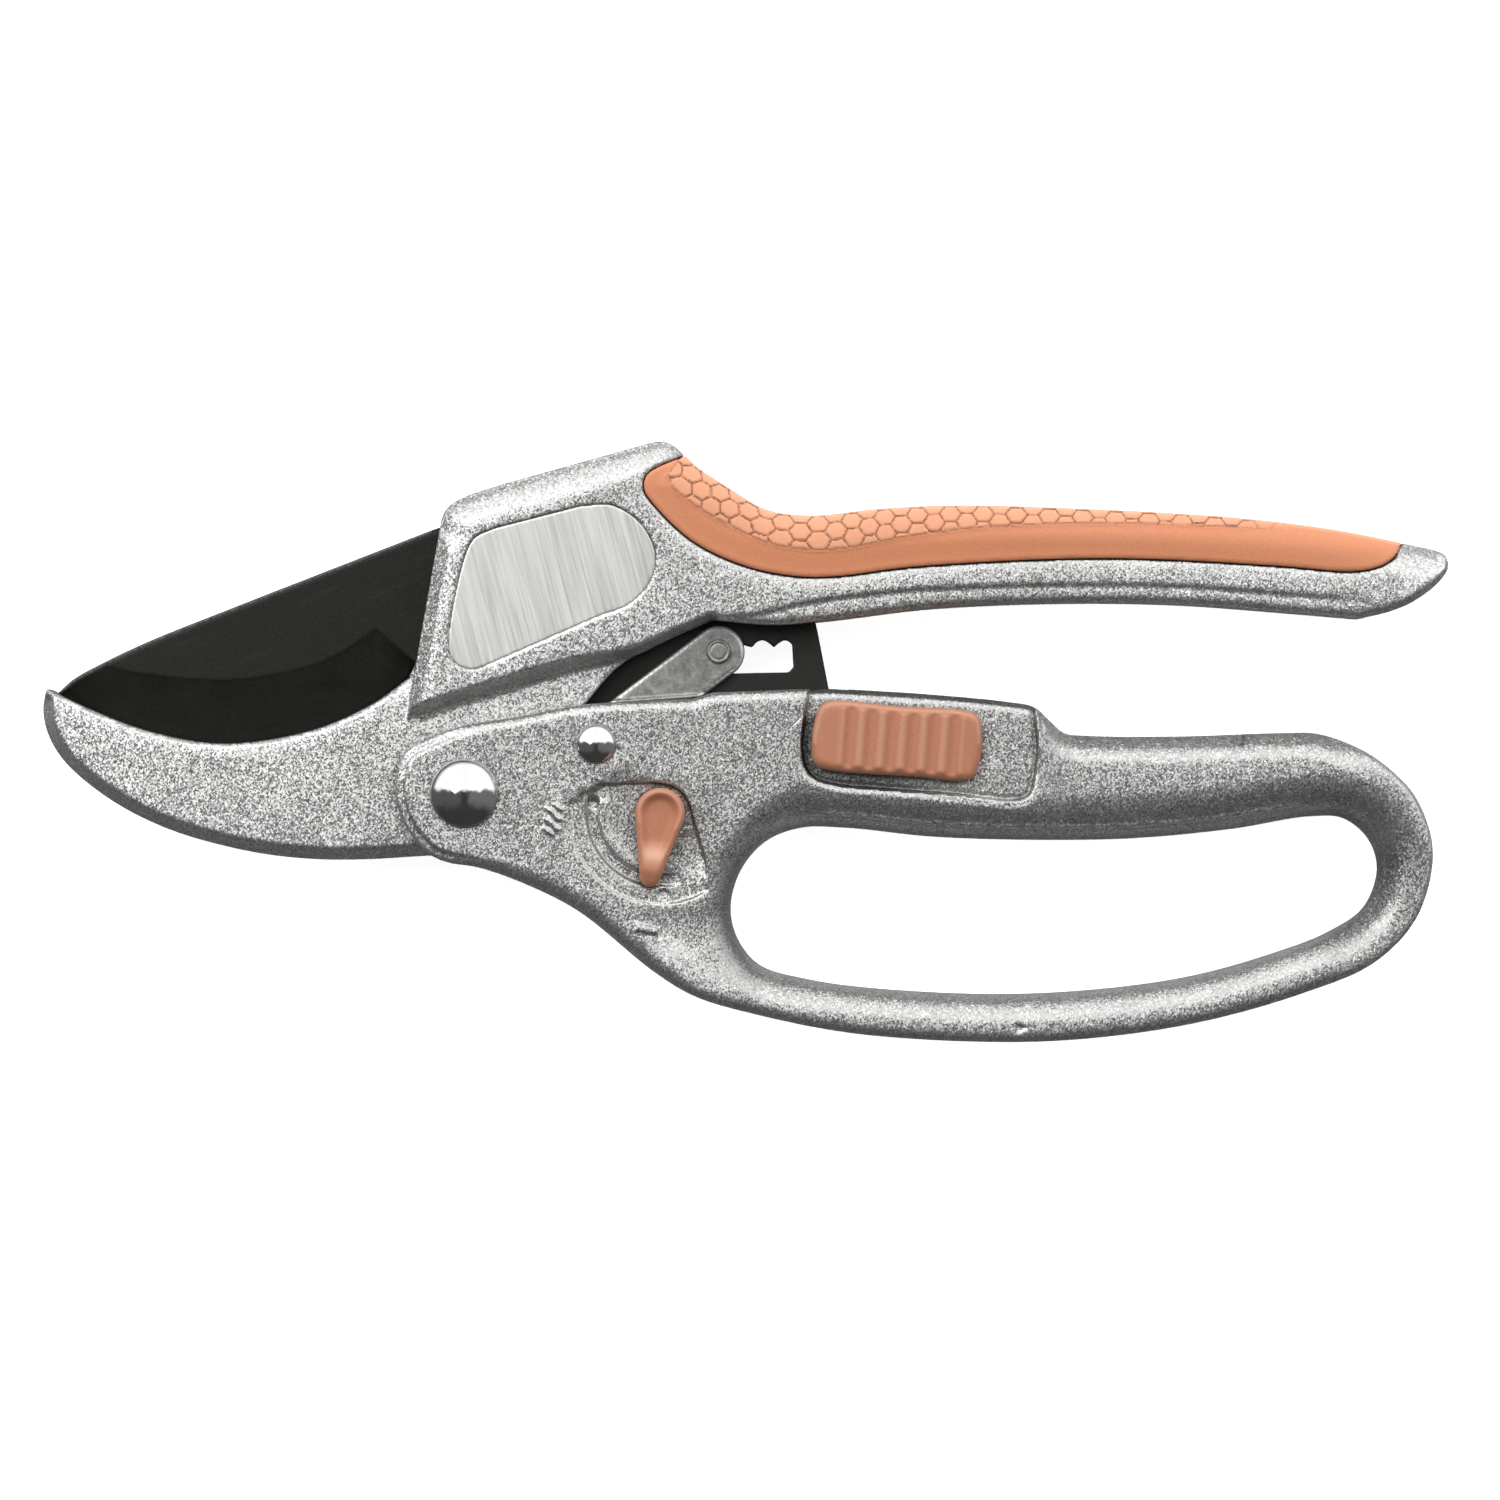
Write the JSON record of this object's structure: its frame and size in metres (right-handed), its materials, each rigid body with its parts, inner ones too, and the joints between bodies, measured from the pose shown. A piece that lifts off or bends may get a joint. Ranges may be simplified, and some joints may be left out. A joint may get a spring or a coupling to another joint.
{
  "type": "pruning shears",
  "caption": "Ratchet anvil pruning shears with a finger-loop handle, soft-grip upper handle, slide lock and a two-position drive selector.",
  "frame": {"origin": "under the middle of the closed tool, at the level of the flat back end of the main rivet that it lies on", "axes": "+X from the jaw tip towards the handle ends, +Y from the loop handle towards the upper handle, +Z from the back face to the front face"},
  "size_m": [0.21, 0.0896, 0.0226],
  "materials": {
    "cast_paint": "die-cast aluminium under a coarse sparkling silver powder coat",
    "soft_grip": "matte orange soft-touch rubber with a hexagon tread",
    "orange_plastic": "matte orange moulded plastic",
    "brushed_badge": "straight-brushed aluminium plate",
    "coated_blade": "carbon steel under a black low-friction coating, ground bevel",
    "zinc_steel": "stamped steel, dull zinc plated",
    "rivet_chrome": "polished chrome rivet heads",
    "bronze": "plain bronze bearing sleeve",
    "spring_steel": "oiled spring wire"
  },
  "bodies": {
    "frame": {"frame_casting": "cast_paint", "handle_grip": "soft_grip", "badge_front": "brushed_badge", "badge_back": "brushed_badge", "blade_pivot_pin": "zinc_steel", "main_bush": "bronze"},
    "blade_body": {"blade": "coated_blade", "blade_bush": "bronze"},
    "loop_body": {"loop_handle": "cast_paint", "main_rivet": "rivet_chrome", "link_rivet": "rivet_chrome", "link_washer_front": "zinc_steel", "link_washer_back": "zinc_steel", "link_spacer": "zinc_steel", "return_spring": "spring_steel", "link_spring": "spring_steel", "detent_ball": "rivet_chrome", "detent_spring": "spring_steel"},
    "link_body": {"link_plate_front": "zinc_steel", "link_plate_back": "zinc_steel", "link_pin": "zinc_steel"},
    "lock_body": {"lock_button": "orange_plastic", "lock_plate": "zinc_steel"},
    "selector_body": {"selector_lever": "orange_plastic", "selector_shaft": "zinc_steel"}
  },
  "joints": [
    {"name": "handle_swing", "type": "hinge", "parent": "frame", "child": "loop_body", "pos_m": [-0.04187, -0.0076, 0.01105], "axis": [0, 0, -1], "range_deg": [0, 32], "deforming": ["return_spring"]},
    {"name": "blade_swing", "type": "hinge", "parent": "frame", "child": "blade_body", "pos_m": [-0.02487, 0.0234, 0.01105], "axis": [0, 0, -1], "range_deg": [0, 17.92]},
    {"name": "link_swing", "type": "hinge", "parent": "loop_body", "child": "link_body", "pos_m": [-0.02222, -0.00025, 0.01105], "axis": [0, 0, 1], "range_deg": [0, 50.56], "deforming": ["link_spring"]},
    {"name": "lock_slide", "type": "slide", "parent": "loop_body", "child": "lock_body", "axis": [0.9968, -0.0802, 0], "range_m": [0, 0.0075]},
    {"name": "selector_turn", "type": "hinge", "parent": "loop_body", "child": "selector_body", "pos_m": [-0.01267, -0.0105, 0.01105], "axis": [0, 0, -1], "range_deg": [0, 78]}
  ],
  "couplings": [
    {"joint": "blade_swing", "follows": "handle_swing", "ratio": 0.56},
    {"joint": "link_swing", "follows": "handle_swing", "ratio": 1.58}
  ]
}
